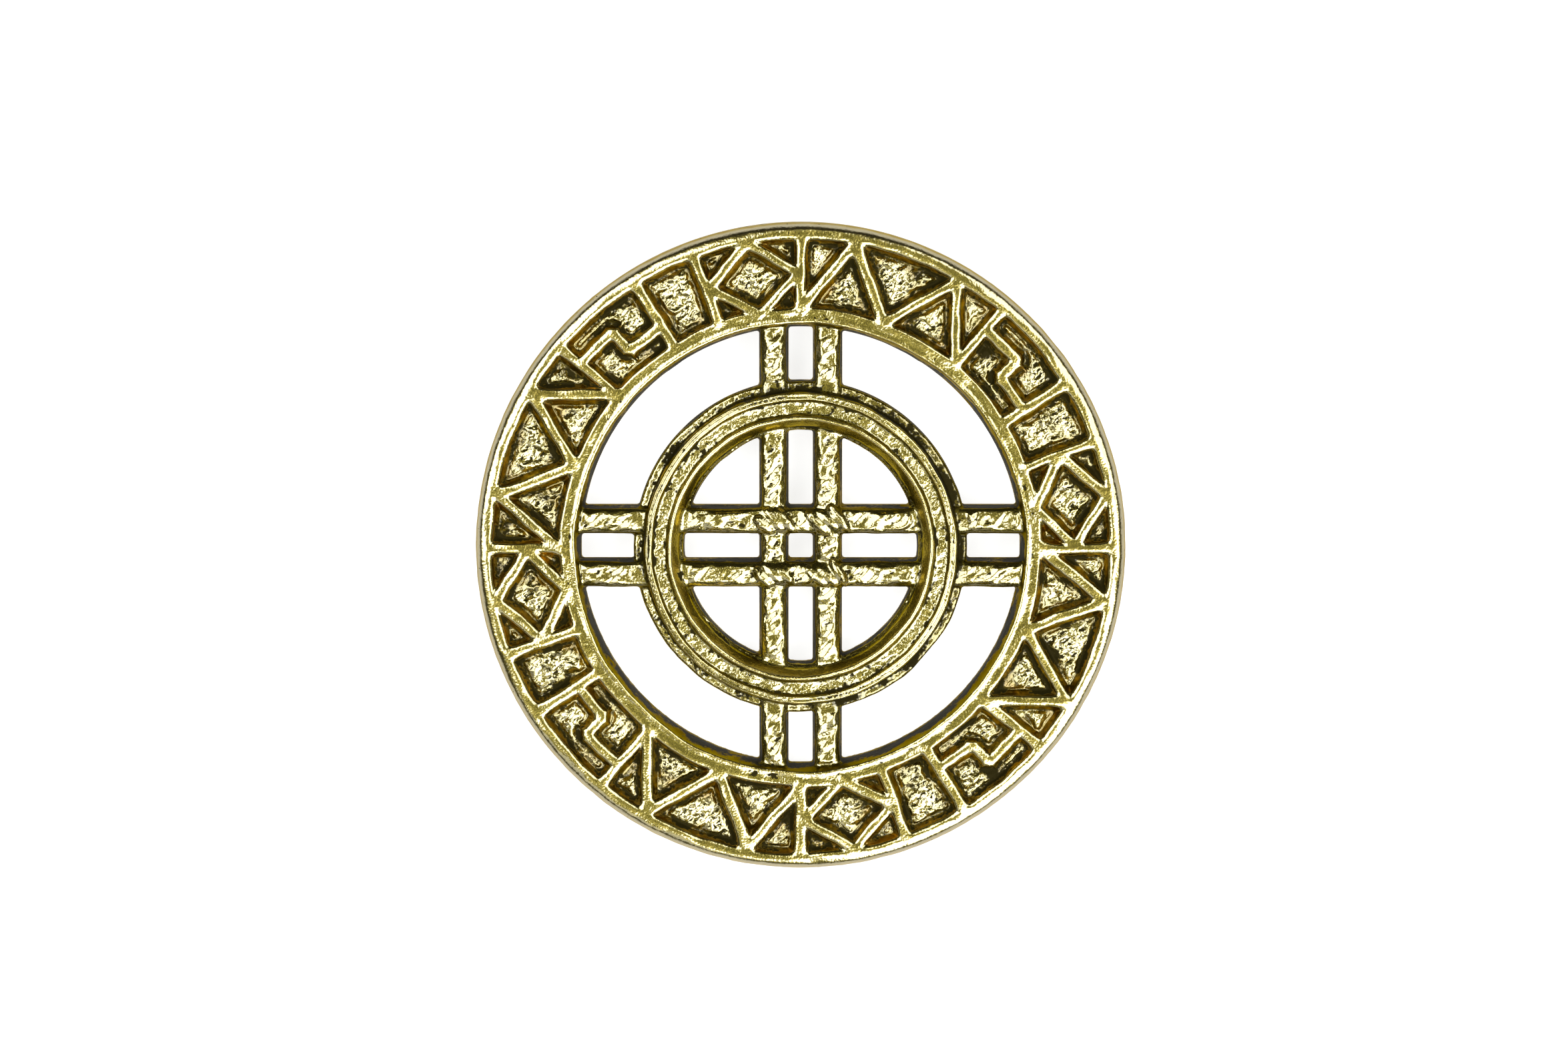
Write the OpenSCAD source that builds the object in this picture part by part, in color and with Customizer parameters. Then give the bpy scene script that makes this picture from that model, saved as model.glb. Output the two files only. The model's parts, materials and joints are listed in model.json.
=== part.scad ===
// Round openwork pin brooch: one cast wheel with a raised fret on its band, and a plain pin on its back.
// It lies face up, as it rests on a table: on the lower edge of the wheel and on the pin.

/* [Band] */
// Diameter of the wheel over its band
wheel_d = 40; // [39.5:0.1:41]
// Diameter of the opening inside the band, at the back
opening_d = 27; // [26.5:0.1:27.5]
// Height of the band
band_h = 2.2; // [2:0.1:2.6]
// Width of the band's outer lip, beside the fret
outer_lip_w = 1; // [0.8:0.1:1.2]
// Width of the band's inner lip, beside the fret
inner_lip_w = 1.3; // [1.1:0.1:1.5]

/* [Fret] */
// Depth of the sunk cells between the ridges
fret_depth = 0.65; // [0.3:0.05:0.9]
// Width of the ridges
ridge_w = 0.5; // [0.4:0.05:0.6]
// Times the row of cells goes round the band
fret_repeats = 4; // [3:1:5]

/* [Ring] */
// Diameter of the inner ring, at the back
ring_d = 20.6; // [20.2:0.1:21]
// Diameter of the inner ring's opening
ring_opening_d = 14.3; // [14:0.1:14.6]
// Height of the inner ring's two beads
ring_h = 2.3; // [2.1:0.1:2.7]
// Depth of the channel between the two beads
channel_depth = 0.3; // [0.1:0.05:0.5]

/* [Bars] */
// Width of each bar at the back
bar_w = 1.85; // [1.6:0.05:2]
// Clear gap between the two bars of a pair
bar_gap = 1.45; // [1.2:0.05:1.7]
// Height of the level bars
bar_h = 1.65; // [1.4:0.05:1.9]
// Height by which the level bars stand over the upright ones
bar_step = 0.15; // [0:0.05:0.3]
// Lean of the bars' sides, in degrees
bar_draft = 7; // [2:1:10]

/* [Pin] */
// Distance of the pin above the middle of the wheel
pin_y = 15.3; // [15:0.1:15.5]
// Diameter of the pin's stem
stem_d = 0.8; // [0.6:0.05:1]
// Clear depth for cloth between the pin's plate and its stem
cloth_gap = 0.8; // [0.6:0.05:1.2]
// Distance between the hinge block and the catch
pin_span = 17.2; // [16:0.1:17.6]

/* [Hidden] */
$fn = 96;
overlap = 0.1;

// One row of the fret: each cell's share of the row, and its motif
FRET_ROW = [
  // share, motif
  [20, "lozenge"],
  [12, "open"],
  [18, "step"],
  [40, "waves"],
];
share_col = 0;
motif_col = 1;

// Band: radii of its walls and lips
wheel_r = wheel_d / 2;
opening_r = opening_d / 2;
rim_bevel = 0.35;
rim_wall_h = band_h - 0.6;
lip_slope = 0.4;
fret_outer_r = wheel_r - outer_lip_w;
fret_inner_r = opening_r + inner_lip_w;

// Ring: its profile from the edge inwards
ring_r = ring_d / 2;
ring_opening_r = ring_opening_d / 2;
ledge_h = 1.25;
ledge_w = 0.6;
bead_w = 0.3;
bead_slope = 0.12;
channel_w = 1.05;
inner_ledge_h = 1.3;
inner_ledge_w = 0.35;
wall_lean = 0.1;

// Pin: one plain piece under the top of the band
solder_gap = 0.03;
plate_t = 0.5;
plate_w = 2.2;
plate_end = 1.2;
plate_l = pin_span + 2 * plate_end;
barrel_r = 0.85;
block_l = 1.2;
catch_l = 1.5;
catch_slot = 0.9;
catch_bore_r = stem_d / 2 + 0.15;
stem_drop = solder_gap + plate_t + cloth_gap + stem_d / 2;
stem_past_catch = 0.9;
point_l = 1.6;
point_r = 0.08;
hinge_x = -pin_span / 2;
catch_x = pin_span / 2;
pin_drop = stem_drop + barrel_r;

// How the brooch rests: it leans back on its lower edge until the hinge and the catch touch the table
contact_y = pin_y - plate_w / 2;
rest_tilt = atan2(pin_drop, wheel_r + contact_y);
lowest_y = -wheel_r - rim_wall_h * sin(rest_tilt);
highest_y = -wheel_r + wheel_d * cos(rest_tilt);
rest_y = -(lowest_y + highest_y) / 2;

// The catch is as deep as lets it touch the table with the hinge
catch_r = (wheel_r + pin_y) * sin(rest_tilt) - stem_drop * cos(rest_tilt);

function unit(v) = v / norm(v);
function left_of(v) = [-v[1], v[0]];
function reversed(list) = [for (i = [len(list) - 1:-1:0]) list[i]];
function total(list) = list * [for (item = list) 1];

// The point of a bent line's edge beside its corner i, at a distance to the left of the line
function edge_point(line, i, distance) =
  let (
    last = len(line) - 1,
    before = i > 0 ? unit(line[i] - line[i - 1]) : unit(line[1] - line[0]),
    after = i < last ? unit(line[i + 1] - line[i]) : before,
    across = unit(left_of(before) + left_of(after))
  )
  line[i] + across * distance / (across * left_of(before));

function edge_points(line, distance) =
  [for (i = [0:len(line) - 1]) edge_point(line, i, distance)];

// The lines of a motif, in points [across, up]: across is -1 to 1 over the cell,
// up is 0 at the inner lip and 1 at the outer one, and the ends run on into the lips
function motif_lines(motif) =
  motif == "lozenge" ? [
    [[0.08, -0.08], [-0.97, 0.5], [0.08, 1.08]],
    [[-0.08, -0.08], [0.97, 0.5], [-0.08, 1.08]],
  ] :
  motif == "step" ? [
    [[-1.1, 0.32], [-0.02, 0.32], [0.02, 0.68], [1.1, 0.68]],
  ] :
  motif == "waves" ? [
    [[-1.03, -0.06], [-0.5, 1.01], [0, -0.01], [0.5, 1.01], [1.03, -0.06]],
  ] : [];

// Where each cell of the row starts, in degrees from the first one
row_angle = 360 / fret_repeats;
shares = [for (row = FRET_ROW) row[share_col]];
function share_before(i) = i == 0 ? 0 : share_before(i - 1) + shares[i - 1];
cell_starts = [for (i = [0:len(FRET_ROW) - 1]) row_angle * share_before(i) / total(shares)];
cell_sizes = [for (share = shares) row_angle * share / total(shares)];

// A point of a cell's drawing, placed on the band
function on_band(point, start, size) =
  let (
    angle = start + size * (1 + point[0]) / 2,
    radius = fret_inner_r + (fret_outer_r - fret_inner_r) * point[1]
  )
  radius * [cos(angle), sin(angle)];

module ridge(line) {
  polygon(concat(
    edge_points(line, ridge_w / 2),
    reversed(edge_points(line, -ridge_w / 2))
  ));
}

// One cell: the ridge on its starting side, and its motif
module cell_ridges(start, size, motif) {
  ridge([for (up = [-0.12, 1.12]) on_band([-1, up], start, size)]);
  for (line = motif_lines(motif))
    ridge([for (point = line) on_band(point, start, size)]);
}

module fret_ridges() {
  for (turn = [0:fret_repeats - 1])
    for (i = [0:len(FRET_ROW) - 1])
      cell_ridges(turn * row_angle + cell_starts[i], cell_sizes[i], FRET_ROW[i][motif_col]);
}

// The sunk floors between the ridges, cut out of the band
module fret_cells() {
  translate([0, 0, band_h - fret_depth])
    linear_extrude(fret_depth + overlap)
      difference() {
        circle(fret_outer_r);
        circle(fret_inner_r);
        fret_ridges();
      }
}

module band() {
  difference() {
    rotate_extrude()
      polygon([
        [opening_r, 0],
        [wheel_r, 0],
        [wheel_r, rim_wall_h],
        [wheel_r - rim_bevel, band_h],
        [opening_r + lip_slope, band_h],
        [opening_r + wall_lean, band_h / 2],
      ]);
    fret_cells();
  }
}

// The inner ring: an outer ledge, two beads with a channel between them, and an inner ledge
module ring() {
  outer_bead_r = ring_r - wall_lean - ledge_w;
  channel_r = outer_bead_r - bead_slope - bead_w;
  inner_bead_r = channel_r - channel_w;
  slope_r = inner_bead_r - bead_w;
  channel_h = ring_h - channel_depth;
  rotate_extrude()
    polygon([
      [ring_opening_r, 0],
      [ring_r, 0],
      [ring_r - wall_lean, ledge_h],
      [outer_bead_r, ledge_h],
      [outer_bead_r - bead_slope, ring_h],
      [channel_r, ring_h],
      [channel_r - bead_slope, channel_h],
      [inner_bead_r + bead_slope, channel_h],
      [inner_bead_r, ring_h],
      [slope_r, ring_h],
      [ring_opening_r + inner_ledge_w, inner_ledge_h],
      [ring_opening_r + wall_lean, inner_ledge_h],
    ]);
}

// One bar along X, through the middle, with leaning sides
module bar(height) {
  half_w = bar_w / 2;
  top_half_w = half_w - height * tan(bar_draft);
  length = 2 * (opening_r + lip_slope + wall_lean);
  rotate([90, 0, 90])
    linear_extrude(length, center = true)
      polygon([
        [-half_w, 0],
        [half_w, 0],
        [top_half_w, height],
        [-top_half_w, height],
      ]);
}

module bar_pair(height) {
  for (side = [-1, 1])
    translate([0, side * (bar_gap + bar_w) / 2, 0])
      bar(height);
}

// Lays the brooch on the table: modelled with its back on z = 0, it turns about its lower edge
module at_rest() {
  translate([0, rest_y - wheel_r, 0])
    rotate([rest_tilt, 0, 0])
      translate([0, wheel_r, 0])
        children();
}

module cast_wheel() {
  color("goldenrod")
    at_rest() {
      band();
      ring();
      bar_pair(bar_h);
      rotate([0, 0, 90])
        bar_pair(bar_h - bar_step);
    }
}

module pin_plate() {
  translate([-plate_l / 2, -plate_w / 2, -solder_gap - plate_t])
    cube([plate_l, plate_w, plate_t]);
}

// The hinge end: a block under the plate, with its round barrel across the stem
module hinge_block() {
  translate([hinge_x - block_l / 2, -plate_w / 2, -stem_drop])
    cube([block_l, plate_w, stem_drop - solder_gap - plate_t / 2]);
  translate([hinge_x, 0, -stem_drop])
    rotate([90, 0, 0])
      cylinder(h = plate_w, r = barrel_r, center = true);
}

module stem() {
  stem_l = pin_span + catch_l / 2 + stem_past_catch - point_l;
  translate([hinge_x, 0, -stem_drop])
    rotate([0, 90, 0]) {
      cylinder(h = stem_l, d = stem_d);
      translate([0, 0, stem_l])
        cylinder(h = point_l, r1 = stem_d / 2, r2 = point_r);
    }
}

// The catch: a hook round the stem, open on its lower side, on a neck under the plate
module catch_hook() {
  neck_w = 2 * catch_bore_r;
  translate([catch_x, 0, -stem_drop])
    rotate([90, 0, 90])
      linear_extrude(catch_l, center = true)
        difference() {
          union() {
            circle(catch_r);
            translate([-neck_w / 2, 0])
              square([neck_w, stem_drop - solder_gap - plate_t / 2]);
          }
          circle(catch_bore_r);
          translate([-catch_r - overlap, -catch_slot / 2])
            square([catch_r + overlap, catch_slot]);
        }
}

module brooch_pin() {
  color("darkgoldenrod")
    at_rest()
      translate([0, pin_y, 0]) {
        pin_plate();
        hinge_block();
        stem();
        catch_hook();
      }
}

cast_wheel();
brooch_pin();
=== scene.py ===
import bpy
import json
import math
import random
import numpy as np
from mathutils import Matrix, Vector


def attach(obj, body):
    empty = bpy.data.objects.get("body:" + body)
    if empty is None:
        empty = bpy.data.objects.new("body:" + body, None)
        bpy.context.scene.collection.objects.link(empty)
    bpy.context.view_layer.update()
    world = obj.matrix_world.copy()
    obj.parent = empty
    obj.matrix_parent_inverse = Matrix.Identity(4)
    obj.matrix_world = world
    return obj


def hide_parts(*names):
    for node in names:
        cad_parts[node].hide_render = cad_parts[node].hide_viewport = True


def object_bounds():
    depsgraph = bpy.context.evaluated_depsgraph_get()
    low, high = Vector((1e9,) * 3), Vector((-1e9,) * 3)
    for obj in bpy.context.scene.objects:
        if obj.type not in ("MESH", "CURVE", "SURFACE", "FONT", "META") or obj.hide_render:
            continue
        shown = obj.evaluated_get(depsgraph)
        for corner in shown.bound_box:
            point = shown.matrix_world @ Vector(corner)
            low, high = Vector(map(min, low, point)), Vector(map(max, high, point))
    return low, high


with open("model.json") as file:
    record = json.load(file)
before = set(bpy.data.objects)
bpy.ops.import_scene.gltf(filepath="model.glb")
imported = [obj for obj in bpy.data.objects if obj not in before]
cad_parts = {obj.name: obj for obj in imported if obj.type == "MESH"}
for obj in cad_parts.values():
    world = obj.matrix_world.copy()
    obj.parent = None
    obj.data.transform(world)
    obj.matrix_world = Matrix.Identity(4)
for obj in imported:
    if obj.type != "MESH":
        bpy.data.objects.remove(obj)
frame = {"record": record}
cadLow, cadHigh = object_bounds()

# all of the brooch is drawn in millimetres, as it lies on its back
mergeGap = 0.001             # points that are nearer than this are one

wheel = {
    "diameter": 40.0,
    "bandHeight": 2.2,
    "bandOpening": 13.5,     # radius
    "cellDepth": 0.65,
    "cellInner": 14.8,       # where the fret's cells meet the inner lip
    "cellOuter": 18.87,      # and the outer lip
    "ringRadius": 10.3,
    "ringOpening": 7.15,     # radius
}

# radius and height of each turn of the band's outline, outside first
bandOutline = [
    (13.5, 0.0), (19.9, 0.0), (19.95, 0.25), (19.95, 1.45), (19.89, 1.74),
    (19.78, 1.95), (19.64, 2.1), (19.48, 2.17), (19.2, 2.2), (19.04, 2.18), (18.92, 2.08),
    (18.64, 1.55), (15.06, 1.55),
    (14.79, 2.08), (14.66, 2.17), (14.5, 2.14), (14.12, 2.12), (13.96, 2.19),
    (13.82, 2.13), (13.62, 1.15),
]

# and of the inner ring's: edge, ledge, double bead, channel, inner bead, slope, ledge
ringOutline = [
    (7.15, 0.0), (10.27, 0.0), (10.24, 1.1), (10.12, 1.24), (9.68, 1.2),
    (9.6, 2.08), (9.52, 2.25), (9.44, 2.25), (9.34, 2.06), (9.26, 2.25), (9.16, 2.25),
    (9.04, 1.96), (8.28, 1.96), (8.14, 2.2), (8.04, 2.29), (7.94, 2.26), (7.84, 2.13),
    (7.5, 1.64), (7.44, 1.2), (7.34, 1.28), (7.24, 1.2),
]


def clearSelection():
    if bpy.context.object and bpy.context.object.mode != "OBJECT":
        bpy.ops.object.mode_set(mode="OBJECT")
    bpy.ops.object.select_all(action="DESELECT")


def selectOnly(piece):
    clearSelection()
    piece.select_set(True)
    bpy.context.view_layer.objects.active = piece


def applyPlace():
    bpy.ops.object.transform_apply(location=True, rotation=True, scale=True)


def pickSide(piece, direction):
    # leaves the piece in edit mode, with only the faces that look that way selected
    bpy.ops.object.mode_set(mode="EDIT")
    bpy.ops.mesh.select_mode(type="FACE")
    bpy.ops.mesh.select_all(action="DESELECT")
    bpy.ops.object.mode_set(mode="OBJECT")
    for face in piece.data.polygons:
        face.select = face.normal.dot(Vector(direction)) > 0.9
    bpy.ops.object.mode_set(mode="EDIT")


def mendSpin():
    # closes the seam of what was spun, and turns its faces outwards
    bpy.ops.mesh.select_all(action="SELECT")
    bpy.ops.mesh.remove_doubles(threshold=mergeGap)
    bpy.ops.mesh.normals_make_consistent(inside=False)
    bpy.ops.object.mode_set(mode="OBJECT")


def addBox(size, where=(0, 0, 0)):
    clearSelection()
    bpy.ops.mesh.primitive_cube_add(size=1, location=where, scale=size)
    applyPlace()
    return bpy.context.object


def turnOutline(name, outline, steps=240):
    # a single point is drawn out into the outline, which is spun about the upright axis
    clearSelection()
    bpy.ops.mesh.primitive_plane_add(size=1)
    piece = bpy.context.object
    piece.name = name
    bpy.ops.object.mode_set(mode="EDIT")
    bpy.ops.mesh.select_all(action="SELECT")
    bpy.ops.mesh.merge(type="CENTER")
    bpy.ops.transform.translate(value=(outline[0][0], 0, outline[0][1]))
    for (r, z), (nextR, nextZ) in zip(outline, outline[1:] + outline[:1]):
        if r or nextR:       # no line along the axis
            bpy.ops.mesh.extrude_region_move(
                TRANSFORM_OT_translate={"value": (nextR - r, 0, nextZ - z)})
    bpy.ops.mesh.select_all(action="SELECT")
    bpy.ops.mesh.remove_doubles(threshold=mergeGap)
    bpy.ops.mesh.spin(steps=steps, angle=math.tau, center=(0, 0, 0), axis=(0, 0, 1))
    mendSpin()
    return piece


def placeCopy(blank, where, turn=0.0, stretch=(1, 1, 1)):
    selectOnly(blank)
    bpy.ops.object.duplicate(linked=False)
    piece = bpy.context.object
    piece.location = where
    piece.rotation_euler = (0, 0, turn)
    piece.scale = stretch
    return piece


def joinPieces(name, parts):
    clearSelection()
    for part in parts:
        part.select_set(True)
    bpy.context.view_layer.objects.active = parts[0]
    bpy.ops.object.join()
    piece = bpy.context.object
    piece.name = name
    applyPlace()
    return piece


def applyModifier(piece, kind, **settings):
    modifier = piece.modifiers.new(kind, kind)
    for key, value in settings.items():
        setattr(modifier, key, value)
    bpy.context.view_layer.objects.active = piece
    bpy.ops.object.modifier_apply(modifier=modifier.name)


# the fret: one row of cells and motifs, which goes round the band four times
fret = {
    "repeats": 4,
    "row": [(20, "lozenge"), (12, "open"), (18, "step"), (40, "waves")],
    # lines in points [across, up]: across is -1 to 1 over the cell, up 0 to 1 over the band
    "motifs": {
        "open": [],
        "lozenge": [[(0.08, -0.08), (-0.97, 0.5), (0.08, 1.08)],
                    [(-0.08, -0.08), (0.97, 0.5), (-0.08, 1.08)]],
        "step": [[(-1.1, 0.32), (-0.02, 0.32), (0.02, 0.68), (1.1, 0.68)]],
        "waves": [[(-1.03, -0.06), (-0.5, 1.01), (0, -0.01), (0.5, 1.01), (1.03, -0.06)]],
    },
    "divider": [(-1, -0.1), (-1, 1.1)],
    "seed": 7,
}

ridge = {
    "top": 0.4,              # width
    "base": 0.96,
    "root": 0.1,             # how much higher it is than a cell is deep
    "sink": 0.09,            # how far it is let into the floor
    "sinkSpread": 0.04,      # and by how much that differs
    "widths": (0.9, 1.12),   # the least and the greatest share of its width
    "crown": (0.15, 0.05),   # how far in from its edges the middle stands up, and how high
    # how much wider it is at each share of its length
    "swell": [(0, 1.5), (0.05, 1.14), (0.13, 1.0), (0.33, 0.94), (0.5, 1.02), (0.67, 0.94),
              (0.87, 1.0), (0.95, 1.14), (1, 1.5)],
}

knot = {                     # the swelling where a ridge bends
    "radius": 0.24,
    "flare": 0.2,            # how much wider its foot is
    "root": 0.08,
    "sink": 0.07,
    "crown": (0.08, 0.02),
    "sides": 20,
}


def buildRidge():
    # a ridge of unit length, drawn out in steps: wider at its foot and towards both ends
    swell = ridge["swell"]
    step = swell[1][0]
    piece = addBox((step, ridge["base"], wheel["cellDepth"] + ridge["root"]), (step / 2 - 0.5, 0, 0))
    pickSide(piece, (0, 0, 1))
    bpy.ops.transform.resize(value=(1, ridge["top"] / ridge["base"], 1))
    pickSide(piece, (-1, 0, 0))
    bpy.ops.transform.resize(value=(1, swell[0][1], 1))
    pickSide(piece, (1, 0, 0))
    bpy.ops.transform.resize(value=(1, swell[1][1], 1))
    for (at, wide), (nextAt, nextWide) in zip(swell[1:], swell[2:]):
        bpy.ops.mesh.extrude_region_move(TRANSFORM_OT_translate={"value": (nextAt - at, 0, 0)})
        bpy.ops.transform.resize(value=(1, nextWide / wide, 1))
    bpy.ops.object.mode_set(mode="OBJECT")
    pickSide(piece, (0, 0, 1))
    inset, rise = ridge["crown"]
    bpy.ops.mesh.inset(thickness=inset, depth=rise)
    bpy.ops.object.mode_set(mode="OBJECT")
    return piece


def buildKnot():
    # the low cone where two ridges meet
    clearSelection()
    bpy.ops.mesh.primitive_cone_add(vertices=knot["sides"], radius1=knot["radius"] + knot["flare"],
                                    radius2=knot["radius"], depth=wheel["cellDepth"] + knot["root"])
    piece = bpy.context.object
    pickSide(piece, (0, 0, 1))
    inset, rise = knot["crown"]
    bpy.ops.mesh.inset(thickness=inset, depth=rise)
    bpy.ops.object.mode_set(mode="OBJECT")
    return piece


def cellPoint(point, start, size):
    across, up = point
    angle = math.radians(start + size * (1 + across) / 2)
    radius = wheel["cellInner"] + (wheel["cellOuter"] - wheel["cellInner"]) * up
    return Vector((radius * math.cos(angle), radius * math.sin(angle), 0))


def fretLines():
    # every line of the fret, as points on the band
    rowAngle = 360 / fret["repeats"]
    unit = rowAngle / sum(share for share, motif in fret["row"])
    lines = []
    for turn in range(fret["repeats"]):
        start = turn * rowAngle
        for share, motif in fret["row"]:
            size = share * unit
            drawn = [fret["divider"]] + fret["motifs"][motif]
            lines += [[cellPoint(point, start, size) for point in line] for line in drawn]
            start += size
    return lines


def buildFret():
    ridgeBlank, knotBlank = buildRidge(), buildKnot()
    chance = random.Random(fret["seed"])
    middle = wheel["bandHeight"] - wheel["cellDepth"] / 2
    parts = []
    for line in fretLines():
        for a, b in zip(line, line[1:]):
            along = b - a
            height = middle - ridge["sink"] - chance.uniform(0, ridge["sinkSpread"])
            parts.append(placeCopy(ridgeBlank, (a + b) / 2 + Vector((0, 0, height)),
                                   math.atan2(along.y, along.x),
                                   (along.length, chance.uniform(*ridge["widths"]), 1)))
        for corner in line[1:-1]:
            parts.append(placeCopy(knotBlank, corner + Vector((0, 0, middle - knot["sink"]))))
    for blank in (ridgeBlank, knotBlank):
        bpy.data.objects.remove(blank)
    return joinPieces("fret", parts)


bars = {
    "height": 1.65,
    "step": 0.15,            # the upright bars lie lower by this
    "base": 1.85,            # width
    "top": 1.52,
    "middle": 1.65,          # from the wheel's middle to the middle of a bar
    "overrun": 0.5,          # how much longer a bar is than the opening is wide
    "crown": [(0.17, 0.12), (0.2, 0.04)],    # how far in from its edges each step starts, and its rise
}


def buildBar(name, height):
    # a long block with leaning sides and a low crown between broad eased edges
    height -= sum(rise for inset, rise in bars["crown"])
    length = 2 * wheel["bandOpening"] + bars["overrun"]
    piece = addBox((length, bars["base"], height), (0, 0, height / 2))
    piece.name = name
    pickSide(piece, (0, 0, 1))
    bpy.ops.transform.resize(value=(1, bars["top"] / bars["base"], 1))
    for inset, rise in bars["crown"]:
        bpy.ops.mesh.inset(thickness=inset, depth=rise)
    bpy.ops.object.mode_set(mode="OBJECT")
    return piece


def buildBars():
    level = buildBar("levelBar", bars["height"])
    upright = buildBar("uprightBar", bars["height"] - bars["step"])
    parts = []
    for off in (-bars["middle"], bars["middle"]):
        parts.append(placeCopy(level, (0, off, 0)))
        parts.append(placeCopy(upright, (off, 0, 0), math.pi / 2))
    for blank in (level, upright):
        bpy.data.objects.remove(blank)
    return joinPieces("bars", parts)


# three slanting lumps where a level bar passes over an upright one
lashing = {
    "half": (0.9, 0.33, 0.27),   # half the length, width and height of a lump
    "spacing": 0.68,
    "stagger": 0.12,         # each lies higher than the one to its left by this
    "sink": 0.03,            # how far its middle is below the bar's height
    "turn": -50,             # degrees, down to the right
    "strayUp": 0.12,         # how far it lies out of its row
    "strayTurn": 12,         # degrees
    "lengths": (0.8, 1.15),  # the least and the greatest share of its length
    "seed": 3,
}


def buildLashings():
    clearSelection()
    bpy.ops.mesh.primitive_uv_sphere_add(segments=16, ring_count=10, radius=1,
                                         scale=lashing["half"])
    blank = bpy.context.object
    applyPlace()
    chance = random.Random(lashing["seed"])
    up, turned = lashing["strayUp"], lashing["strayTurn"]
    parts = []
    for x in (-bars["middle"], bars["middle"]):
        for y in (-bars["middle"], bars["middle"]):
            for step in (-1, 0, 1):
                rise = step * lashing["stagger"] + chance.uniform(-up, up)
                where = (x + step * lashing["spacing"], y + rise, bars["height"] - lashing["sink"])
                turn = math.radians(lashing["turn"] + chance.uniform(-turned, turned))
                stretch = (chance.uniform(*lashing["lengths"]), 1, 1)
                parts.append(placeCopy(blank, where, turn, stretch))
    bpy.data.objects.remove(blank)
    return joinPieces("lashings", parts)


# the casting's skin: bent out of true, then hammered by zones
surface = {
    "voxel": 0.085,          # grain of the cast skin
    "faces": 190000,         # triangles
    "bend": 0.22,            # how far the ring and the bars stray from true
    "bandBend": 0.28,        # and the band
    "wobble": 0.08,          # how far the front swells and dips
    "island": 0.12,          # how far a cell's floor bulges in its middle
    # zone, grain and height of each layer of crumpling
    "crumpling": [("floor", "ripples", 0.5), ("floor", "creases", -0.25),
                  ("channel", "ripples", 0.17), ("barTop", "swells", 0.5),
                  ("ledge", "pits", -0.1), ("slope", "wobble", 0.08)],
    "crumpleLevel": 0.4,     # the grain's value that leaves the skin where it is
    "strokes": 34,           # degrees by which the crumpling's strokes rise to the right
    "strokeSize": (1.7, 0.8, 1),   # how much longer and narrower than its grain a stroke is
    # how softly each zone ends, in steps from vertex to vertex
    "soft": {"floor": 4, "channel": 3, "ledge": 3, "barTop": 3, "slope": 4, "front": 6,
             "inside": 8, "band": 8, "crossing": 4},
    "fade": 1.5,             # power that draws the soft edge in
    "floorHeights": (1.2, 1.9),    # between which a cell's floor lies
    "floorClear": 0.24,      # how far from the walls it is hammered
    "barTop": 0.52,          # how far from its middle a bar is hammered
    "barFrom": 1.2,          # and from which height
    "crossing": 0.85,        # how far a crossing reaches from the middle of both bars
}

# size of each grain in millimetres, and its kind
perlin, crinkled = {"noise_basis": "IMPROVED_PERLIN"}, {"noise_type": "HARD_NOISE"}
grains = {
    "bend": (2.8, {"noise_depth": 1, "cloud_type": "COLOR", **perlin}),
    "wobble": (1.0, {"noise_depth": 1, **perlin}),
    "ripples": (0.6, {"noise_depth": 2, **perlin}),
    "swells": (0.7, {"noise_depth": 1, **perlin}),
    "creases": (0.42, {"noise_depth": 2, **crinkled}),
    "pits": (0.22, {"noise_depth": 1, **crinkled}),
}

# rings of the casting: inner and outer radius, lowest and highest height
least, most = -1, 99         # less and more than any radius or height
hammeredRings = {
    "channel": (8.32, 8.98, 1.8, 2.15),
    "outerLedge": (9.62, 10.2, 1.0, 1.45),
    "innerLedge": (7.2, 7.42, 1.0, 1.45),
    "slope": (7.3, 7.9, 1.0, most),
    "front": (least, most, 0.5, most),
    "inside": (least, 19.4, 0.5, most),
    "band": (14.2, 19.2, 0.5, most),
}


def readPlaces(piece):
    places = np.empty(len(piece.data.vertices) * 3, np.float32)
    piece.data.vertices.foreach_get("co", places)
    return places.reshape(-1, 3)


def readNormals(piece):
    normals = np.empty(len(piece.data.vertices) * 3, np.float32)
    piece.data.vertices.foreach_get("normal", normals)
    return normals.reshape(-1, 3)


def keepPlain(piece):
    # keeps each vertex's place before the casting is bent out of true
    plain = piece.data.attributes.new("plain", "FLOAT_VECTOR", "POINT")
    plain.data.foreach_set("vector", readPlaces(piece).ravel())


def readPlain(piece):
    places = np.empty(len(piece.data.vertices) * 3, np.float32)
    piece.data.attributes["plain"].data.foreach_get("vector", places)
    return places.reshape(-1, 3)


def blurAlongEdges(piece, values, times):
    ends = np.empty(len(piece.data.edges) * 2, np.int32)
    piece.data.edges.foreach_get("vertices", ends)
    a, b = ends.reshape(-1, 2).T
    n = len(values)
    neighbours = np.bincount(a, minlength=n) + np.bincount(b, minlength=n)
    for _ in range(times):
        total = np.bincount(a, values[b], n) + np.bincount(b, values[a], n)
        values = (values + total / np.maximum(neighbours, 1)) / 2
    return values


def ramp(values, low, high):
    share = np.clip((values - low) / (high - low), 0, 1)
    return share * share * (3 - 2 * share)


def between(values, low, high):
    return (values > low) & (values < high)


def inRing(r, z, ring):
    inner, outer, low, high = ring
    return between(r, inner, outer) & between(z, low, high)


def setWeights(piece, name, weights, levels=20):
    group = piece.vertex_groups.new(name=name)
    steps = np.round(np.clip(weights, 0, 1) * levels).astype(int)
    for step in range(1, levels + 1):
        picked = np.nonzero(steps == step)[0]
        if len(picked):
            group.add(picked.tolist(), step / levels, "REPLACE")


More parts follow.
